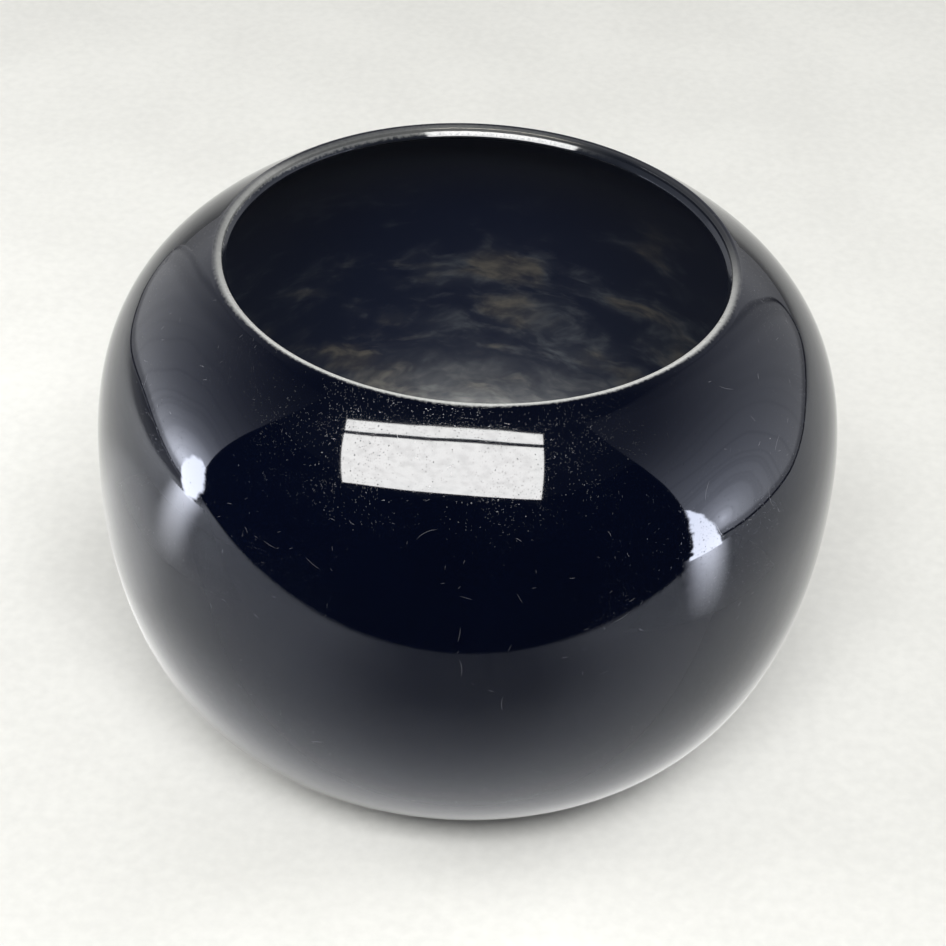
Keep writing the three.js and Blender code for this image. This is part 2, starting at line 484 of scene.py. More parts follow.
def inner_gloss_finish(sizes, colours):
    """The lining: the same glaze, clouded by a dried film that is rusty in places."""
    finish = Finish("inner_gloss", gloss_constants(colours))
    pale = finish.drawn_lip(sizes)
    flat = finish.vector_maths("ADD", finish.place, FILM_SHIFT)
    flat = finish.vector_maths("MULTIPLY", flat, FILM_STRETCH)
    warp = finish.noise(flat, FILM_WARP, detail=2.0, seed=7.0)
    streaky = finish.vector_maths("ADD", flat, finish.vector(warp * WARP_ASIDE, 0.0, warp * WARP_UP))
    clouds = finish.noise(streaky, FILM_CLOUD, detail=5.0, seed=8.0)
    wisps = finish.noise(streaky, FILM_WISP, detail=5.0, seed=9.0)
    low = finish.fade(finish.z, 0.85 * sizes.vase_height, 0.5 * sizes.vase_height)
    veil = finish.fade(clouds, 0.42, 0.64)
    film = low * (0.22 * veil + 0.78 * finish.fade(0.6 * clouds + 0.4 * wisps, 0.48, 0.69))
    settled = finish.z + (clouds - 0.5) * DREGS_STRAY
    dregs = finish.fade(settled, 0.40 * sizes.vase_height, 0.18 * sizes.vase_height)
    crumbs = finish.fade(0.5 * clouds + 0.5 * wisps, 0.40, 0.60)
    film = finish.maths("MAXIMUM", film, dregs * (0.3 + 0.6 * crumbs))
    rust = finish.noise(finish.place, RUST_SIZE, detail=2.0, seed=11.0)
    rust = finish.fade(0.6 * clouds + 0.4 * rust, 0.5, 0.6)
    film_now = finish.blend(rust, colours.film, colours.film_rust)
    film_now = finish.blend(dregs, film_now, colours.dregs)
    glaze = finish.blend(low, colours.haze_high, colours.haze)
    glaze = finish.blend(film, glaze, film_now)
    matt = finish.fade(finish.z, sizes.vase_height - BEAD_DEPTH, sizes.vase_height - RUN_DEPTH)
    glaze = finish.blend(matt, colours.glaze_thin, glaze)
    peel = finish.noise(finish.place, PEEL_SIZE, detail=1.0, seed=12.0)
    finish.shader.feed({
        "Base Color": finish.blend(pale, glaze, colours.lip),
        "Roughness": 0.05 + 0.25 * pale + 0.43 * matt + 0.1 * film,
        "Normal": finish.relief(peel * PEEL_HEIGHT),
    })
    return finish.material


BASE_CLOUD = 9 * MM
GRIT_SPACING = 3 * MM
GRIT_RADIUS = 0.2 * MM
GRIT_HEIGHT = 0.05 * MM
BASE_SCUFF_SPACING = 5 * MM
BASE_SCUFF_LENGTH = 1.5 * MM
BASE_SCUFF_WIDTH = 0.08 * MM


def base_gloss_finish(colours):
    """The coat in the recess: gloss, faintly clouded and scuffed, with grit stuck in it."""
    finish = Finish("base_gloss", gloss_constants(colours))
    cloud = finish.noise(finish.place, BASE_CLOUD, detail=3.0, seed=13.0)
    grit = finish.specks(GRIT_SPACING, GRIT_RADIUS, 0.35)
    scuffs = finish.scratches(BASE_SCUFF_SPACING, BASE_SCUFF_LENGTH, BASE_SCUFF_WIDTH, 0.4)
    glaze = finish.blend(0.15 * cloud * cloud, colours.glaze, colours.glaze_thin)
    marks = finish.maths("MAXIMUM", 0.4 * scuffs, 0.35 * grit)
    finish.shader.feed({
        "Base Color": finish.blend(marks, glaze, colours.scuff),
        "Roughness": 0.05 + 0.08 * cloud + 0.3 * marks,
        "Normal": finish.relief(grit * GRIT_HEIGHT + cloud * 2 * PEEL_HEIGHT),
    })
    return finish.material


# Half sections, as points of radius and height

SHOULDER_STEPS = 42
BOWL_STEPS = 56
LIP_STEPS = 12
ROUND_STEPS = 6
FEATHER_STEPS = 8

# Lip: how far the outer coat feathers over it, where its crest and its inner corner end, and its face
FEATHER_TURN = math.radians(28)
CREST_END = math.radians(126)
CORNER_END = math.radians(172)
CORNER_ROUND = 0.15 * MM
FACE_DROP = 0.42 * MM

# Bead of glaze below that face
BEAD_FACING = math.radians(138)
BEAD_SLOPE = 0.75 * MM
BEAD_ROUND = 0.28 * MM
BEAD_BACK = 0.4 * MM

# Small rounds under the foot
COVE = 0.5 * MM
BASE_ROUND = 0.3 * MM

# Straying of the glaze line: how far up it is felt, how long its waves are, and how wide the noise swings
WANDER_REACH = 4 * MM
WANDER_SIZE = 9 * MM
WANDER_SWING = 4


def direction(angle):
    """The way that an angle points in the half section: outwards at 0, up at a quarter turn."""
    return Vector((math.cos(angle), math.sin(angle)))


def arc(centre, radius, start, end, steps):
    """Points round part of a circle, both ends included."""
    turn = (end - start) / steps
    return [centre + radius * direction(start + turn * step) for step in range(steps + 1)]


class Wall:
    """The four surfaces of the wall: two of the clay and two of the glaze."""

    def __init__(self, sizes):
        self.sizes = sizes
        self.lip = Vector((sizes.lip_radius, sizes.vase_height - sizes.lip_thickness / 2))
        self.lip_start = math.pi / 2 - sizes.shoulder_fall
        self.lip_end = self.lip_start + math.pi
        self.clay_side = sizes.lip_thickness / 2
        self.glaze_side = self.clay_side + sizes.lip_coat
        inside = sizes.outer_coat + sizes.wall_thickness
        foot = (sizes.foot_radius, sizes.foot_height)
        self.glaze_outside = self.surface(self.glaze_side, 0.0, foot[0], foot[1] - sizes.outer_coat)
        self.clay_outside = self.surface(self.clay_side, sizes.outer_coat, *foot)
        self.clay_inside = self.surface(-self.clay_side, inside, sizes.floor_radius, sizes.floor_height)
        self.glaze_inside = self.surface(
            -self.glaze_side,
            inside + sizes.inner_coat,
            sizes.floor_radius,
            sizes.floor_height + sizes.floor_coat,
        )
        self.clay_lip, self.clay_throat = self.lip_edge()
        self.line_at = self.first_inside(sizes.foot_radius + sizes.bare_outside)
        self.bare_to = self.first_inside(sizes.foot_radius + COVE)

    def surface(self, lip_offset, depth, bottom_radius, bottom_height):
        """Points down one surface of the wall, over the shoulder and round the bowl."""
        sizes = self.sizes
        belly = sizes.belly_radius - depth
        down_shoulder = direction(-sizes.shoulder_fall)
        top = self.lip + lip_offset * direction(self.lip_start)
        waist = Vector((belly, sizes.belly_height))
        shoulder = interpolate_bezier(
            top,
            top + sizes.shoulder_reach * down_shoulder,
            waist + Vector((0.0, sizes.shoulder_rise)),
            waist,
            SHOULDER_STEPS + 1,
        )
        bowl = interpolate_bezier(
            waist,
            waist - Vector((0.0, sizes.bowl_drop)),
            Vector((sizes.bowl_corner - depth, bottom_height)),
            Vector((bottom_radius, bottom_height)),
            BOWL_STEPS + 1,
        )
        return [Vector(point[:2]) for point in (*shoulder, *bowl[1:])]

    def first_inside(self, radius):
        """The number of the first point below the belly, on the clay outside, that lies within a radius."""
        for number, point in enumerate(self.clay_outside):
            if point.y < self.sizes.belly_height and point.x <= radius:
                return number
        raise ValueError("The foot ring is wider than the bowl above it")

    def lip_edge(self):
        """Points over the clay lip to the foot of its upright face, and from there into the throat."""
        corner = self.lip + (self.clay_side - CORNER_ROUND) * direction(CREST_END)
        crest = arc(self.lip, self.clay_side, self.lip_start, CREST_END, LIP_STEPS)
        corner = arc(corner, CORNER_ROUND, CREST_END, CORNER_END, ROUND_STEPS)
        down = direction(CORNER_END + math.pi / 2)
        face_foot = corner[-1] + FACE_DROP * down
        throat = interpolate_bezier(
            face_foot,
            face_foot + BEAD_BACK * down,
            self.clay_inside[0] - BEAD_BACK * direction(-self.sizes.shoulder_fall),
            self.clay_inside[0],
            LIP_STEPS,
        )
        return [*crest, *corner[1:]], [Vector(point[:2]) for point in throat]


def clay_section(wall):
    """The clay, from the middle of the recess round the foot, up outside and down inside."""
    sizes = wall.sizes
    edge = sizes.foot_round
    recess = sizes.foot_radius - sizes.foot_width
    ceiling = sizes.recess_depth
    return [
        Vector((0.0, ceiling)),
        Vector((sizes.base_radius / 2, ceiling)),
        Vector((sizes.base_radius, ceiling)),
        *arc(Vector((recess - COVE, ceiling - COVE)), COVE, math.pi / 2, 0.0, ROUND_STEPS),
        *arc(Vector((recess + edge, edge)), edge, math.pi, 1.5 * math.pi, ROUND_STEPS),
        Vector((sizes.foot_radius - sizes.foot_width / 2, 0.0)),
        *arc(Vector((sizes.foot_radius - edge, edge)), edge, 1.5 * math.pi, FULL_TURN, ROUND_STEPS),
        *arc(
            Vector((sizes.foot_radius + COVE, sizes.foot_height - COVE)),
            COVE, math.pi, math.pi / 2, ROUND_STEPS,
        ),
        *reversed(wall.clay_outside[: wall.bare_to]),
        *wall.clay_lip[1:],
        *wall.clay_throat,
        *wall.clay_inside[1:],
        Vector((sizes.floor_radius / 2, sizes.floor_height)),
        Vector((0.0, sizes.floor_height)),
    ]


def outer_coat_section(wall):
    """The outer coat, from its feather edge on the lip down to a rolled bead above the foot."""
    gloss = wall.glaze_outside[: wall.line_at + 1]
    back = wall.clay_outside[: wall.line_at + 1]
    middle = (gloss[-1] + back[-1]) / 2
    across = gloss[-1] - back[-1]
    facing = math.atan2(across.y, across.x)
    bead = arc(middle, across.length / 2, facing, facing - math.pi, ROUND_STEPS)[1:-1]
    feather = []
    for step in range(FEATHER_STEPS + 1):
        share = step / FEATHER_STEPS
        stand = wall.clay_side + (wall.glaze_side - wall.clay_side) * math.cos(share * math.pi / 2)
        feather.append(wall.lip + stand * direction(wall.lip_start + share * FEATHER_TURN))
    under = arc(wall.lip, wall.clay_side, wall.lip_start, wall.lip_start + FEATHER_TURN, FEATHER_STEPS)
    return [*gloss, *bead, *reversed(back), *under[1:-1], *reversed(feather)]


def line_slides(section, sizes):
    """How far the points of the outer coat may stray: most at its lowest one, the glaze line."""
    line = min(section, key=lambda point: point.y)
    slides = []
    for point in section:
        near = max(0.0, 1 - (point - line).length / WANDER_REACH)
        slides.append(Vector((sizes.line_wander * near * near, 0.0)))
    return slides


def inner_coat_section(wall):
    """The lining, from the floor up the clay, over a bead inside the lip and down its gloss."""
    sizes = wall.sizes
    clay_floor = Vector((0.0, sizes.floor_height))
    gloss_floor = sizes.floor_height + sizes.floor_coat
    bead = wall.clay_throat[0] + BEAD_SLOPE * direction(BEAD_FACING + math.pi / 2)
    middle = bead - BEAD_ROUND * direction(BEAD_FACING)
    return [
        clay_floor,
        clay_floor + Vector((sizes.floor_radius / 2, 0.0)),
        *reversed(wall.clay_inside[1:]),
        *reversed(wall.clay_throat),
        (wall.clay_throat[0] + bead) / 2,
        *arc(middle, BEAD_ROUND, BEAD_FACING, wall.lip_end, 2 * ROUND_STEPS),
        *wall.glaze_inside[1:],
        Vector((sizes.floor_radius / 2, gloss_floor)),
        Vector((0.0, gloss_floor)),
    ]


def base_coat_section(wall):
    """The coat in the recess, a thin disc with a rounded edge."""
    sizes = wall.sizes
    face = sizes.recess_depth - sizes.base_coat
    corner = Vector((sizes.base_radius - BASE_ROUND, face + BASE_ROUND))
    return [
        Vector((0.0, face)),
        Vector((sizes.base_radius / 2, face)),
        *arc(corner, BASE_ROUND, 1.5 * math.pi, FULL_TURN, ROUND_STEPS),
        Vector((sizes.base_radius, sizes.recess_depth)),
        Vector((0.0, sizes.recess_depth)),
    ]


# Turning

WHEEL = "turning_wheel"
WELD = 0.0005 * MM
CREASE = math.radians(40)


def turning_wheel():
    """The Geometry Nodes tree that turns a half section about the axis, made once."""
    if WHEEL in bpy.data.node_groups:
        return bpy.data.node_groups[WHEEL]
    group = bpy.data.node_groups.new(WHEEL, "GeometryNodeTree")
    inputs = {
        "Section": "NodeSocketGeometry",
        "Steps Round": "NodeSocketInt",
        "Wander Size": "NodeSocketFloat",
        "Seed": "NodeSocketFloat",
        "Finish": "NodeSocketMaterial",
    }
    for name, kind in inputs.items():
        group.interface.new_socket(name, in_out="INPUT", socket_type=kind)
    group.interface.new_socket("Piece", in_out="OUTPUT", socket_type="NodeSocketGeometry")
    tree = Tree(group)
    given = tree.node("NodeGroupInput")
    section = given["Section"]
    points = tree.node("GeometryNodeAttributeDomainSize", sockets={"Geometry": section})["Point Count"]
    sheet = tree.node(
        "GeometryNodeMeshGrid", sockets={"Vertices X": points, "Vertices Y": given["Steps Round"] + 1}
    )
    along, round_share, _ = tree.parts(sheet["UV Map"])
    index = tree.maths("FLOOR", along * (points - 1) + 0.5)
    place = tree.node("GeometryNodeInputPosition")["Position"]
    slide = tree.node(
        "GeometryNodeInputNamedAttribute", {"data_type": "FLOAT_VECTOR"}, {"Name": "slide"}
    )["Attribute"]
    radius, _, height = tree.parts(sampled(tree, section, place, index))
    slide_out, _, slide_up = tree.parts(sampled(tree, section, slide, index))
    sine = tree.maths("SINE", round_share * FULL_TURN)
    cosine = tree.maths("COSINE", round_share * FULL_TURN)
    ring = tree.vector(radius * sine, radius * cosine, 0.0)
    stray = WANDER_SWING * (tree.noise(ring, given["Wander Size"], seed=given["Seed"]) - 0.5)
    radius = radius + slide_out * stray
    height = height + slide_up * stray
    turned_to = tree.vector(radius * sine, -1 * radius * cosine, height)
    piece = sheet["Mesh"]
    for kind, sockets in (
        ("GeometryNodeSetPosition", {"Position": turned_to}),
        ("GeometryNodeMergeByDistance", {"Distance": WELD}),
        ("GeometryNodeSetShadeSmooth", {}),
        ("GeometryNodeRealizeInstances", {}),
        ("GeometryNodeSetMaterial", {"Material": given["Finish"]}),
    ):
        piece = tree.node(kind, sockets={"Geometry": piece, **sockets})["Geometry"]
    tree.node("NodeGroupOutput", sockets={"Piece": piece})
    return group


def sampled(tree, section, field, index):
    """A vector of the section's points, fetched by number."""
    return tree.node(
        "GeometryNodeSampleIndex",
        {"data_type": "FLOAT_VECTOR", "domain": "POINT"},
        {"Geometry": section, "Value": field, "Index": index},
    )["Value"]


def turned(name, section, finish, sizes, slides=None, seed=0.0):
    """A finished mesh, turned from a half section on the wheel."""
    mesh = bpy.data.meshes.new(name)
    edges = [(number, number + 1) for number in range(len(section) - 1)]
    mesh.from_pydata([(point.x, 0.0, point.y) for point in section], edges, [])
    slide = mesh.attributes.new("slide", "FLOAT_VECTOR", "POINT")
    for point, move in zip(slide.data, slides or []):
        point.vector = (move.x, 0.0, move.y)
    piece = bpy.data.objects.new(name, mesh)
    bpy.context.scene.collection.objects.link(piece)
    wheel = turning_wheel()
    modifier = piece.modifiers.new("Turned", "NODES")
    modifier.node_group = wheel
    given = {"Steps Round": sizes.steps_round, "Wander Size": WANDER_SIZE, "Seed": seed, "Finish": finish}
    for item in wheel.interface.items_tree:
        if item.name in given:
            modifier[item.identifier] = given[item.name]
    graph = bpy.context.evaluated_depsgraph_get()
    made = bpy.data.meshes.new_from_object(piece.evaluated_get(graph), depsgraph=graph)
    piece.modifiers.clear()
    piece.data = made
    made.name = name
    bpy.data.meshes.remove(mesh)
    face_outwards(made)
    made.set_sharp_from_angle(angle=CREASE)
    return piece


def face_outwards(mesh):
    """Turns the faces of a closed mesh outwards."""
    shell = bmesh.new()
    shell.from_mesh(mesh)
    bmesh.ops.recalc_face_normals(shell, faces=shell.faces)
    shell.to_mesh(mesh)
    shell.free()


def stands_for(piece, node):
    """Seats a piece on the vase in place of a solid."""
    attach(piece, "root")
    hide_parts(node)


class POSY_OT_clay_body(Operator):
    """Turn the fired clay vessel, which shows bare on the lip and the foot ring"""

    bl_idname = "posy.clay_body"
    bl_label = "Clay Body"

    def execute(self, context):
        sizes = context.scene.posy_sizes
        finish = clay_finish(sizes, context.scene.posy_colours)
        piece = turned("fired_clay", clay_section(Wall(sizes)), finish, sizes)
        stands_for(piece, "clay_body")
        return {"FINISHED"}


class POSY_OT_outer_glaze(Operator):
    """Turn the gloss coat on the outside, with a straying bead above the foot ring"""

    bl_idname = "posy.outer_glaze"
    bl_label = "Outer Glaze"

    def execute(self, context):
        sizes = context.scene.posy_sizes
        finish = outer_gloss_finish(sizes, context.scene.posy_colours)
        section = outer_coat_section(Wall(sizes))
        piece = turned("outer_gloss_coat", section, finish, sizes, line_slides(section, sizes), seed=3.0)
        stands_for(piece, "outer_glaze")
        return {"FINISHED"}


class POSY_OT_inner_glaze(Operator):
    """Turn the coat that lines the inside, pooled on the floor"""

    bl_idname = "posy.inner_glaze"
    bl_label = "Inner Glaze"

    def execute(self, context):
        sizes = context.scene.posy_sizes
        finish = inner_gloss_finish(sizes, context.scene.posy_colours)
        piece = turned("inner_gloss_coat", inner_coat_section(Wall(sizes)), finish, sizes)
        stands_for(piece, "inner_glaze")
        return {"FINISHED"}


class POSY_OT_base_glaze(Operator):
    """Turn the coat in the recess under the foot"""

    bl_idname = "posy.base_glaze"
    bl_label = "Base Glaze"

    def execute(self, context):
        sizes = context.scene.posy_sizes
        finish = base_gloss_finish(context.scene.posy_colours)
        piece = turned("base_gloss_coat", base_coat_section(Wall(sizes)), finish, sizes)
        stands_for(piece, "base_glaze")
        return {"FINISHED"}


# Stage

SENSOR_WIDTH = 36.0
SURROUND_TONE = (1.0, 0.995, 0.985)

# Table
TABLE_HALF = 2.0
TABLE_CLOUD = 30 * MM
TABLE_GRAIN = 2 * MM
TABLE_RELIEF = 0.02 * MM
# Painted falloff of light: between these radii from the middle the table's colour darkens, as a pool of
# light fading out
TABLE_LIGHT_FALLOFF = (0.065, 0.15)

# Cards round the vase. Azimuths are in degrees: 0 is towards the camera, and 90 to its right
CARD_STEPS = 48
DARK = 0.02
FRONT_DISTANCE = 0.62
FRONT_OVERLAP = 5
BACKDROP_DISTANCE = 1.5
BACKDROP_SWEEP = (110, 250)
ROOF_HEIGHT = 0.64
ROOF_HALF = 1.6

# Side walls: from where to where, their hems as azimuths and heights, and their sloping tops
WALL_DISTANCE = 0.34
LEFT_WALL = (-76, -146)
RIGHT_WALL = (63.5, 139.5)
LEFT_HEM = [(-76, 0.022), (-105, 0.056), (-133, 0.013), (-146, 0.014)]
RIGHT_HEM = [(63.5, 0.010), (92, 0.0), (100, 0.0), (126, 0.046), (139.5, 0.047)]
WALL_TOP = 0.556
WALL_TOP_FROM = 76
WALL_TOP_FALL = 0.0070
WALL_TIP = 7
TAPE = 0.026
TAPE_LIFT = 2 * MM

# Where a lamp shines on each wall, as an azimuth and a height
LEFT_HOT = (-82, 0.07)
RIGHT_HOT = (74, 0.05)

# Lamps that light matt surfaces: where each stands, its width and its depth
PANEL_LAMP = ((0.0, -0.75, 0.95), 0.8, 0.4)
LEFT_LAMP = ((-0.38, -0.02, 0.16), 0.3, 0.2)
RIGHT_LAMP = ((0.6, 0.15, 0.5), 0.5, 0.5)

# Lamp panel as the gloss mirrors it. An edge of a pane is a depth, with a slope and a bow across the panel
PANEL_MIDDLE = Vector((-0.066, -0.275, 0.518))
PANEL_WIDTH = 0.508
PANEL_DEPTH = 0.253
PANEL_TILT = math.radians(40)
PANEL_TAPER = 0.05
PANEL_SKEW = 0.165
PANES = {
    "panel_back": ((0.135, 0.0, -0.45), (0.231, 0.0, -0.36)),
    "panel_front": ((0.267, 0.0, -0.34), (1.01, 0.08, 0.0)),
}

# Side lamps as the gloss mirrors them: azimuths, lower and upper edge, and distance
LEFT_SHINE = ((-73.5, -83.5), -0.004, 0.108, 0.33)
RIGHT_SHINE = ((61.5, 72.5), 0.0, 0.126, 0.297)

# The light that they spill on the table, from where to where
SPILL_HALF = 0.05
SPILLS = {
    "left_spill": (Vector((-0.340, -0.062, 0.0)), Vector((-0.104, -0.025, 0.0))),
    "right_spill": (Vector((0.290, -0.118, 0.0)), Vector((0.100, -0.056, 0.0))),
}

# Cards that lie on the table, each a little above the one before it
BOUNCE_LIFT = 0.2 * MM
SHADE_LIFT = 0.4 * MM
SPILL_LIFT = Vector((0.0, 0.0, 0.6 * MM))
BOUNCE_HALF = 0.2
SHADE_CORNERS = ((-0.6, -0.64), (0.6, -0.05))


def placed(name, points, rows, material):
    """A card from a grid of points, given row by row. Its UV runs along the rows and across them."""
    columns = len(points) // rows
    faces = []
    for row in range(rows - 1):
        for column in range(columns - 1):
            corner = row * columns + column
            faces.append((corner, corner + 1, corner + columns + 1, corner + columns))
    mesh = bpy.data.meshes.new(name)
    mesh.from_pydata(points, [], faces)
    mesh.materials.append(material)
    layer = mesh.uv_layers.new(name="card")
    for loop in mesh.loops:
        row, column = divmod(loop.vertex_index, columns)
        layer.data[loop.index].uv = (column / (columns - 1), row / (rows - 1))
    card = bpy.data.objects.new(name, mesh)
    bpy.context.scene.collection.objects.link(card)
    return card


def gloss_card(name, points, rows, material):
    """A card that only gloss mirrors: it stays out of the picture and out of the soft light."""
    card = placed(name, points, rows, material)
    for ray in ("camera", "diffuse", "transmission", "volume_scatter", "shadow"):
        setattr(card, "visible_" + ray, False)


def flat_card(name, low, high, height, material):
    """A level card between two corners."""
    corners = [(low[0], low[1]), (high[0], low[1]), (low[0], high[1]), (high[0], high[1])]
    gloss_card(name, [(x, y, height) for x, y in corners], 2, material)


def round_card(name, sweep, lower, upper, distance, material):
    """An upright card round the vase, between two azimuths and two heights."""
    turn = (sweep[1] - sweep[0]) / CARD_STEPS
    azimuths = [sweep[0] + turn * step for step in range(CARD_STEPS + 1)]
    points = [on_round(azimuth, height, distance) for height in (lower, upper) for azimuth in azimuths]
    gloss_card(name, points, 2, material)


def on_round(azimuth, height, distance):
    """A point round the vase. Azimuth 0 is towards the camera, and 90 degrees to its right."""
    angle = math.radians(azimuth)
    return (distance * math.sin(angle), -distance * math.cos(angle), height)


def hanging(knots, azimuth):
    """The height of a slack hem that swings from knot to knot."""
    for (start, low), (end, high) in zip(knots, knots[1:]):
        share = (azimuth - start) / (end - start)
        if share <= 1:
            return low + (high - low) * (1 - math.cos(math.pi * share)) / 2
    return knots[-1][1]


def wall_edges(sweep, hem):
    """The lower and upper edge of a side wall, as azimuths and heights. They meet in a round tip."""
    lower = []
    upper = []
    for step in range(CARD_STEPS + 1):
        azimuth = sweep[0] + (sweep[1] - sweep[0]) * math.sin(step / CARD_STEPS * math.pi / 2)
        low = hanging(hem, azimuth)
        high = WALL_TOP - WALL_TOP_FALL * (abs(azimuth) - WALL_TOP_FROM)
        tip = max(0.0, 1 - abs(sweep[1] - azimuth) / WALL_TIP)
        reach = math.sqrt(1 - tip * tip) * (high - low) / 2
        lower.append((azimuth, (low + high) / 2 - reach))
        upper.append((azimuth, (low + high) / 2 + reach))
    return lower, upper


def side_wall(name, sweep, hem, glow, line_depth):
    """A white side wall, with a soft dark tape all along its hem, round its tip and along its top."""
    lower, upper = wall_edges(sweep, hem)
    points = [on_round(azimuth, height, WALL_DISTANCE) for azimuth, height in lower + upper]
    gloss_card(name + "_wall", points, 2, glow)
    outline = lower + upper[-2::-1]
    path = [Vector((math.radians(azimuth) * WALL_DISTANCE, height)) for azimuth, height in outline]
    inner = []
    for before, point, after in zip([path[0]] + path, path, path[1:] + [path[-1]]):
        aside = (after - before).orthogonal().normalized() * math.copysign(TAPE, sweep[1])
        inner.append(point + aside)
    near = WALL_DISTANCE - TAPE_LIFT
    places = [on_round(math.degrees(x / WALL_DISTANCE), z, near) for x, z in path + inner]
    gloss_card(name + "_tape", places, 2, tape_glow(name + "_tape", line_depth))


class Glow(Tree):
    """A light card's material."""

    def __init__(self, name, strength):
        self.material = bpy.data.materials.new(name)
        self.material.use_nodes = True
        super().__init__(self.material.node_tree)
        self.light = self.node("ShaderNodeEmission", sockets={"Strength": strength})
        given = self.node("ShaderNodeTexCoord")
        self.place = given["Object"]
        self.along, self.across, _ = self.parts(given["UV"])
        self.output = self.node("ShaderNodeOutputMaterial", sockets={"Surface": self.light["Emission"]})

    def level(self, level):
        """Shades the card by a number from 0 to 1."""
        sockets = {"Red": level, "Green": level, "Blue": level}
        self.light.feed({"Color": self.node("ShaderNodeCombineColor", sockets=sockets)["Color"]})

    def shape(self, share):
        """Lets the card vanish where share is 0."""
        clear = self.node("ShaderNodeBsdfTransparent")["BSDF"]
        mix = self.node("ShaderNodeMixShader", sockets={0: share, 1: clear, 2: self.light["Emission"]})
        self.output.feed({"Surface": mix["Shader"]})


def plain_glow(name, strength):
    """A card of even brightness."""
    return Glow(name, strength).material


PANEL_CLOUD = 0.02


def panel_glow(stage):
    """The panel's warm face, faintly clouded."""
    glow = Glow("panel_shine", stage.panel_shine)
    cloud = glow.noise(glow.place, PANEL_CLOUD, detail=4.0)
    dull = [0.86 * part for part in stage.panel_tone]
    glow.light.feed({"Color": glow.blend(glow.fade(cloud, 0.3, 0.6), dull, stage.panel_tone)})
    return glow.material


# The tape: how dark it is, and in shares of its width its line and its two soft edges. Then, in shares
# of its length, where the band and the line give way
TAPE_GREY = 0.04
LINE_AT = 0.10
LINE_EDGE = (0.19, 0.04)
BAND_INNER = (1.0, 0.5)
BAND_OUTER = (0.0, 0.12)
BAND_END = (0.5, 0.3)
LINE_END = (0.6, 0.5)


def tape_glow(name, line_depth):
    """A grey tape with a fine dark line along its outer edge. It thins out along the top of the wall."""
    glow = Glow(name, TAPE_GREY)
    line = glow.fade(abs(glow.across - LINE_AT), *LINE_EDGE)
    band = glow.fade(glow.across, *BAND_INNER) * glow.fade(glow.across, *BAND_OUTER)
    hem = glow.fade(glow.along, *BAND_END)
    past_tip = glow.fade(glow.along, *LINE_END)
    glow.shape(0.5 * band * (0.4 + 0.6 * hem) + line_depth * line * (0.35 + 0.65 * past_tip))
    return glow.material


# Light on a wall: how its rings are pushed about and creased, how it fails higher up, and the lamp's flare
DRIFT_SIZE = 0.12
DRIFT_PUSH = 0.05
RIPPLE_SIZE = 0.05
CREASE_WIDTH = 0.03
CREASE_REACH = (0.35, 0.15)
WALL_DIMMING = (0.12, 0.42)
FLARE_RADIUS = 0.058


def wall_glow(name, hot_spot, strength, spread, power, squat, flare):
    """A white wall, bright round a lamp and falling off along and above it, with a few faint creases."""
    glow = Glow(name, strength)
    x, y, z = glow.parts(glow.vector_maths("SUBTRACT", glow.place, hot_spot))
    distance = (x * x + y * y + squat * z * z) ** 0.5
    near = (x * x + y * y + z * z) ** 0.5
    drift = glow.noise(glow.place, DRIFT_SIZE, detail=1.0)
    rings = glow.vector(near + DRIFT_PUSH * drift, 0.0, 0.0)
    ripple = glow.noise(rings, RIPPLE_SIZE, detail=1.0, seed=2.0)
    creases = glow.fade(abs(ripple - 0.5), CREASE_WIDTH, 0.0) * glow.fade(near, *CREASE_REACH)
    level = (0.96 + 0.08 * ripple - 0.13 * creases) / (1 + (distance / spread) ** power)
    level = level * (1 - 0.65 * glow.fade(z, *WALL_DIMMING))
    glow.level(level + flare / (1 + (near / FLARE_RADIUS) ** 4))
    return glow.material


LAMP_RAGGED = 0.02
SLANT_RAGGED = 0.016


def lamp_glow(name, strength):
    """A bright round lamp with a ragged outline."""
    glow = Glow(name, strength)
    side = 2 * glow.along - 1
    rise = 2 * glow.across - 1
    ragged = 1.2 * (glow.noise(glow.place, LAMP_RAGGED, detail=3.0) - 0.5)
    glow.shape(glow.fade(side * side + rise * rise + ragged, 1.0, 0.6))
    return glow.material


def slanted_lamp_glow(name, strength):
    """A bright lamp, upright and ragged on its near side, cut off aslant on its far side."""
    glow = Glow(name, strength)
    ragged = glow.noise(glow.place, SLANT_RAGGED, detail=3.0) - 0.5
    reach = (1 - glow.across) ** 0.55
    far = glow.fade(glow.along + 0.2 * ragged, reach + 0.04, reach - 0.04)
    near = glow.fade(glow.along + 0.5 * ragged - 0.12 * glow.fade(glow.across, 0.08, 0.3), 0.0, 0.1)
    glow.shape(far * near)
    return glow.material


def spill_glow(name, strength):
    """Lamplight that lies along the table, strong at its start, drawn to a point at its end."""
    glow = Glow(name, strength)
    width = 0.62 - 0.42 * glow.along
    side = glow.fade(abs(2 * glow.across - 1) / width, 1.5, 0.1)
    glow.shape(side * (1 - glow.along ** 1.5))
    return glow.material


# The lit ring on the table round the foot, which fails in front, and the lit place on the left
RING_MIDDLE = -0.008
RING_OUTER = (0.085, 0.035)
RING_INNER = (0.037, 0.050)
RING_FRONT = (-0.090, -0.050)
LIT_LEFT = (-0.115, 0.012)
LIT_LEFT_EDGE = (0.045, 0.018)


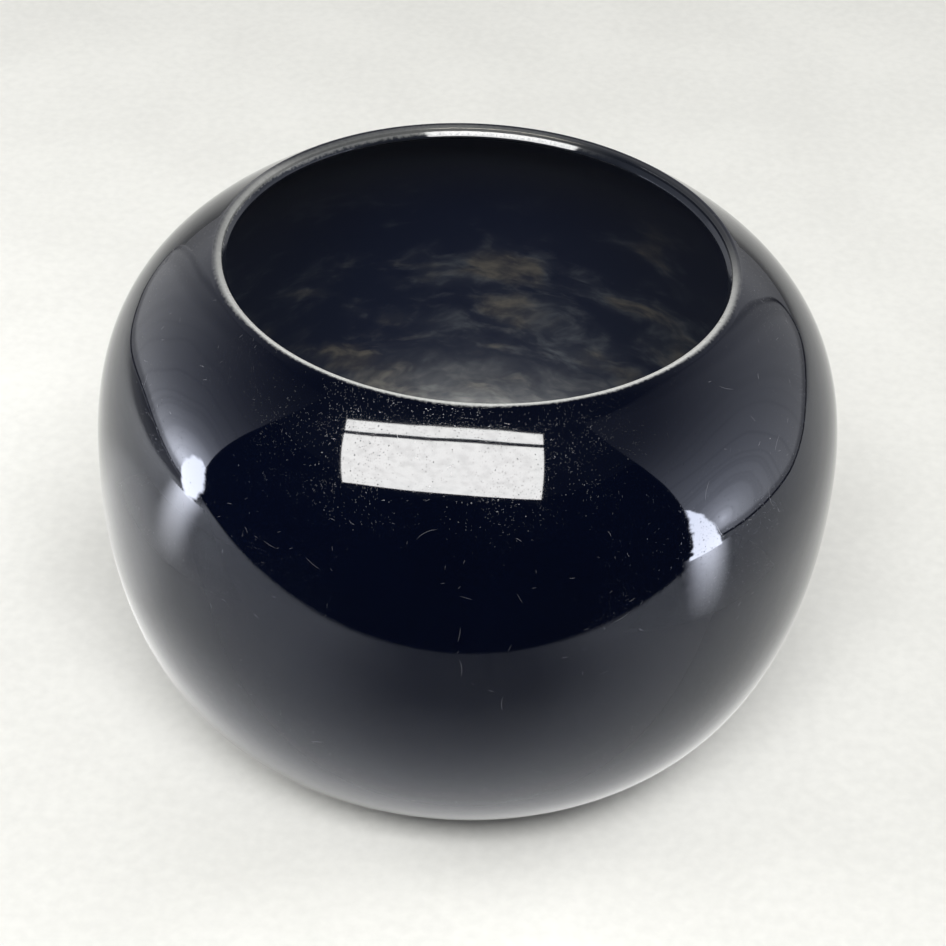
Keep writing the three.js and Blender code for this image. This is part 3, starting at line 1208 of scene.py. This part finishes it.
def bounce_glow(stage):
    """Light that the table throws back, strongest round the foot, with a patch on the left."""
    glow = Glow("table_bounce", stage.bounce)
    x, y, _ = glow.parts(glow.place)
    shifted = x - RING_MIDDLE
    radius = (shifted * shifted + y * y) ** 0.5
    front = glow.fade(y, *RING_FRONT)
    round_foot = glow.fade(radius, *RING_OUTER) * glow.fade(radius, *RING_INNER)
    along = 0.5 * (x - LIT_LEFT[0])
    aside = y - LIT_LEFT[1]
    lit_left = 0.5 * glow.fade((along * along + aside * aside) ** 0.5, *LIT_LEFT_EDGE)
    glow.level(glow.maths("MAXIMUM", round_foot * front, lit_left))
    clear = glow.node("ShaderNodeBsdfTransparent")["BSDF"]
    both = glow.node("ShaderNodeAddShader", sockets={0: clear, 1: glow.light["Emission"]})
    glow.output.feed({"Surface": both["Shader"]})
    return glow.material


# The dark end of the table: where its edge lies, and where the shadow before it starts and stops
SHADE_EDGE = (-0.119, -0.131)
SHADOW_START = (-0.056, -0.100)
SHADOW_MIDDLE = 0.008
SHADOW_SIDES = (0.085, 0.02)


def shade_glow():
    """The dark end of the table in front: a straight edge, with a soft shadow before its middle."""
    glow = Glow("front_shade", DARK)
    x, y, _ = glow.parts(glow.place)
    beyond = glow.fade(y, *SHADE_EDGE)
    shadow = 0.67 * glow.fade(y, *SHADOW_START) * glow.fade(abs(x - SHADOW_MIDDLE), *SHADOW_SIDES)
    glow.shape(glow.maths("MAXIMUM", beyond, shadow))
    return glow.material


ROOF_BACK = (-0.1, 0.45)
ROOF_FAR_BACK = (0.5, 1.5)


def roof_glow():
    """A dim roof, paler towards the back."""
    glow = Glow("roof_glow", 1.0)
    _, y, _ = glow.parts(glow.place)
    glow.level(0.05 + 0.45 * glow.fade(y, *ROOF_BACK) + 0.3 * glow.fade(y, *ROOF_FAR_BACK))
    return glow.material


def backdrop_glow():
    """A pale backdrop, as dim as the far table at its foot."""
    glow = Glow("backdrop_glow", 1.0)
    glow.level(0.45 + 0.35 * glow.fade(glow.across, 0.0, 0.5))
    return glow.material


def table_finish(stage):
    """Pale matt paper with a faint unevenness, and painted light: a little darker away from the middle, as
    a pool of light round the vase.
    """
    finish = Finish("pale_table", {"Roughness": 1.0, "Specular IOR Level": 0.0})
    cloud = finish.noise(finish.place, TABLE_CLOUD, detail=4.0)
    paper = finish.noise(finish.place, TABLE_GRAIN, detail=4.0, seed=1.0)
    shade = finish.fade(0.5 * cloud + 0.5 * paper, 0.3, 0.7)
    pale = finish.blend(shade, [0.91 * part for part in stage.table], stage.table)
    # Painted pool of light: the colour darkens away from the middle of the table
    outer = finish.fade(finish.radius, *TABLE_LIGHT_FALLOFF)
    finish.shader.feed({
        "Base Color": finish.blend(0.08 * outer, pale, (0.0, 0.0, 0.0)),
        "Normal": finish.relief(paper * TABLE_RELIEF),
    })
    return finish.material


def camera(stage):
    """The camera of the picture."""
    data = bpy.data.cameras.new("camera")
    data.lens = stage.camera_lens
    data.sensor_width = SENSOR_WIDTH
    view = bpy.data.objects.new("camera", data)
    bpy.context.scene.collection.objects.link(view)
    view.location = stage.camera_place
    aim = (Vector(stage.camera_aim) - view.location).to_track_quat("-Z", "Y")
    view.rotation_mode = "QUATERNION"
    view.rotation_quaternion = aim @ Quaternion((0.0, 0.0, 1.0), stage.camera_roll)
    bpy.context.scene.camera = view


def surround(stage):
    """A white surround: full white to the eye and in gloss, softer as light."""
    world = bpy.data.worlds.new("surround")
    bpy.context.scene.world = world
    world.use_nodes = True
    tree = Tree(world.node_tree)
    path = tree.node("ShaderNodeLightPath")
    seen = path["Is Camera Ray"] + path["Is Glossy Ray"] + path["Is Transmission Ray"]
    level = stage.surround + (1 - stage.surround) * tree.maths("MINIMUM", seen, 1.0)
    sockets = {"Color": opaque(SURROUND_TONE), "Strength": level}
    light = tree.node("ShaderNodeBackground", sockets=sockets)
    tree.node("ShaderNodeOutputWorld", sockets={"Surface": light["Background"]})


def lamp(name, place, width, depth, power):
    """A soft lamp that faces the foot of the vase, lights matt surfaces and stays out of the gloss."""
    data = bpy.data.lights.new(name, "AREA")
    data.shape = "RECTANGLE"
    data.size = width
    data.size_y = depth
    data.energy = power
    light = bpy.data.objects.new(name, data)
    bpy.context.scene.collection.objects.link(light)
    light.location = place
    light.rotation_mode = "QUATERNION"
    light.rotation_quaternion = Vector(place).to_track_quat("Z", "Y")
    light.visible_camera = False
    light.visible_glossy = False


def pane(name, edges, material):
    """A pane of the lamp panel, between two edges that run across it."""
    forward = Vector((0.0, -math.cos(PANEL_TILT), -math.sin(PANEL_TILT)))
    points = []
    for start, slope, bow in edges:
        for step in range(CARD_STEPS + 1):
            side = step / CARD_STEPS - 0.5
            skewed = side - PANEL_SKEW
            depth = start + slope * skewed + bow * skewed * skewed
            width = PANEL_WIDTH * (1 - PANEL_TAPER * (1 - depth))
            middle = PANEL_MIDDLE + forward * PANEL_DEPTH * (depth - 0.5)
            points.append(middle + Vector((width * side, 0.0, 0.0)))
    gloss_card(name, points, 2, material)


def panel(stage):
    """The lamp panel above the front: its light, and its two panes as the gloss mirrors them."""
    lamp("panel_lamp", *PANEL_LAMP, stage.panel_power)
    shine = panel_glow(stage)
    for name, edges in PANES.items():
        pane(name, edges, shine)


def walls():
    """White side walls, a dark front, a pale backdrop, and a dim table end and roof."""
    left_glow = wall_glow(
        "left_wall",
        on_round(*LEFT_HOT, WALL_DISTANCE),
        strength=10.3,
        spread=0.049,
        power=1.19,
        squat=5.3,
        flare=0.37,
    )
    side_wall("left", LEFT_WALL, LEFT_HEM, left_glow, line_depth=0.55)
    right_glow = wall_glow(
        "right_wall",
        on_round(*RIGHT_HOT, WALL_DISTANCE),
        strength=9.5,
        spread=0.030,
        power=1.0,
        squat=0.95,
        flare=0.02,
    )
    side_wall("right", RIGHT_WALL, RIGHT_HEM, right_glow, line_depth=0.8)
    front = (LEFT_WALL[0] - FRONT_OVERLAP, RIGHT_WALL[0] + FRONT_OVERLAP)
    round_card("front_card", front, 0.0, ROOF_HEIGHT, FRONT_DISTANCE, plain_glow("dark_front", DARK))
    round_card("backdrop", BACKDROP_SWEEP, 0.0, ROOF_HEIGHT, BACKDROP_DISTANCE, backdrop_glow())
    flat_card("front_shade", *SHADE_CORNERS, SHADE_LIFT, shade_glow())
    flat_card("roof", *square(ROOF_HALF), ROOF_HEIGHT, roof_glow())


def square(half):
    """Two corners of a square round the axis."""
    return (-half, -half), (half, half)


def side_lamps(stage):
    """Two lamps at the sides, with their shine and the light that they spill on the table."""
    lamp("left_lamp", *LEFT_LAMP, stage.left_power)
    lamp("right_lamp", *RIGHT_LAMP, stage.right_power)
    left_shine = lamp_glow("left_shine", stage.lamp_shine)
    right_shine = slanted_lamp_glow("right_shine", stage.lamp_shine)
    round_card("left_shine", *LEFT_SHINE, left_shine)
    round_card("right_shine", *RIGHT_SHINE, right_shine)
    spill = spill_glow("lamp_spill", stage.spill_shine)
    for name, (start, end) in SPILLS.items():
        aside = (end - start).cross(Vector((0.0, 0.0, 1.0))).normalized() * SPILL_HALF
        corners = [start - aside, end - aside, start + aside, end + aside]
        gloss_card(name, [corner + SPILL_LIFT for corner in corners], 2, spill)
    flat_card("table_bounce", *square(BOUNCE_HALF), BOUNCE_LIFT, bounce_glow(stage))


class POSY_OT_stage(Operator):
    """Set the table, the light and the camera"""

    bl_idname = "posy.stage"
    bl_label = "Table and Light"

    def execute(self, context):
        stage = context.scene.posy_stage
        context.scene.view_settings.view_transform = "Standard"
        half = TABLE_HALF
        corners = [(-half, -half, 0.0), (half, -half, 0.0), (-half, half, 0.0), (half, half, 0.0)]
        placed("table", corners, 2, table_finish(stage))
        surround(stage)
        panel(stage)
        walls()
        side_lamps(stage)
        camera(stage)
        return {"FINISHED"}


class VIEW3D_PT_posy_vase(Panel):
    """Sizes, colours and steps of the posy vase"""

    bl_label = "Posy Vase"
    bl_idname = "VIEW3D_PT_posy_vase"
    bl_space_type = "VIEW_3D"
    bl_region_type = "UI"
    bl_category = "Posy Vase"

    def draw(self, context):
        layout = self.layout
        for operator in OPERATORS:
            layout.operator(operator.bl_idname)
        for group in (context.scene.posy_sizes, context.scene.posy_colours, context.scene.posy_stage):
            box = layout.box()
            for name in group.__annotations__:
                box.prop(group, name)


OPERATORS = (
    POSY_OT_stage,
    POSY_OT_clay_body,
    POSY_OT_outer_glaze,
    POSY_OT_inner_glaze,
    POSY_OT_base_glaze,
)
CLASSES = (VaseSizes, VaseColours, VaseStage, *OPERATORS, VIEW3D_PT_posy_vase)


def register():
    """Adds the classes and the scene's properties."""
    for cls in CLASSES:
        bpy.utils.register_class(cls)
    bpy.types.Scene.posy_sizes = PointerProperty(type=VaseSizes)
    bpy.types.Scene.posy_colours = PointerProperty(type=VaseColours)
    bpy.types.Scene.posy_stage = PointerProperty(type=VaseStage)


def unregister():
    """Takes them away again."""
    del bpy.types.Scene.posy_stage
    del bpy.types.Scene.posy_colours
    del bpy.types.Scene.posy_sizes
    for cls in reversed(CLASSES):
        bpy.utils.unregister_class(cls)


def main():
    """Builds the vase and its stage."""
    register()
    bpy.ops.posy.stage()
    bpy.ops.posy.clay_body()
    bpy.ops.posy.outer_glaze()
    bpy.ops.posy.inner_glaze()
    bpy.ops.posy.base_glaze()


if __name__ == "__main__":
    main()
